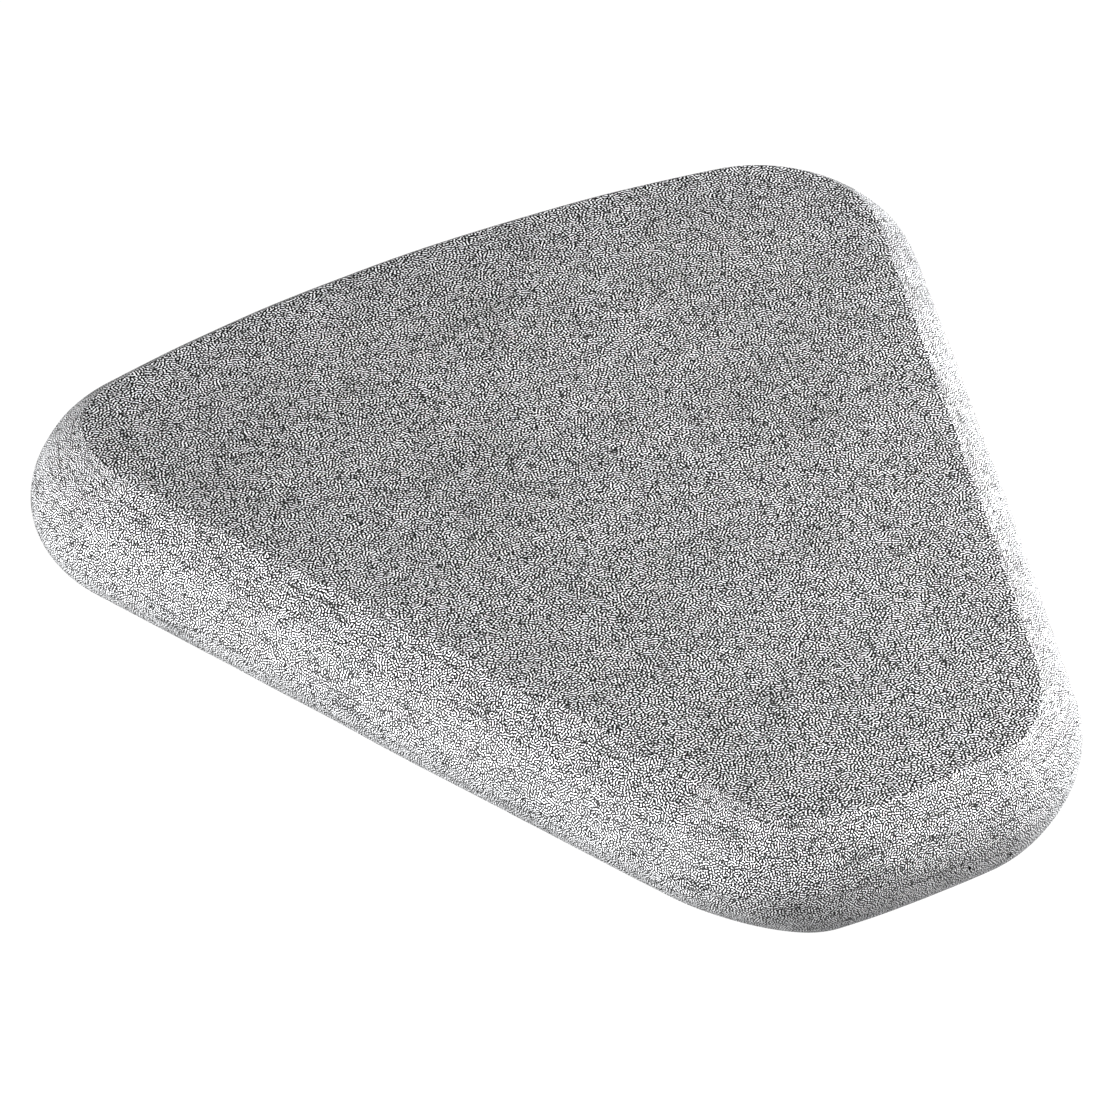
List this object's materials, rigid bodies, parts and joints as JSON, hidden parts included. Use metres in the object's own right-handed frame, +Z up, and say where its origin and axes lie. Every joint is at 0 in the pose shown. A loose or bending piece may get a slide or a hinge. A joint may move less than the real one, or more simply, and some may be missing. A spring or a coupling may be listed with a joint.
{
  "type": "basalt massage stone",
  "caption": "Flat three-cornered basalt massage stone with a blunt tip, ground flat faces and rounded edges, for hot or cold stone massage.",
  "frame": {"origin": "on the surface the stone lies on, under the middle of its outline's box", "axes": "+Z up out of the upper flat face, +Y towards the broad end, -Y towards the blunt tip, -X towards the flank with the broader, softer edge"},
  "size_m": [0.125, 0.133, 0.018],
  "materials": {
    "ground_basalt": "matt, ground smooth and left unpolished and unoiled, fine light and dark speckle with a few small pits"
  },
  "bodies": {
    "root": {"basalt_stone": "ground_basalt"}
  },
  "joints": []
}
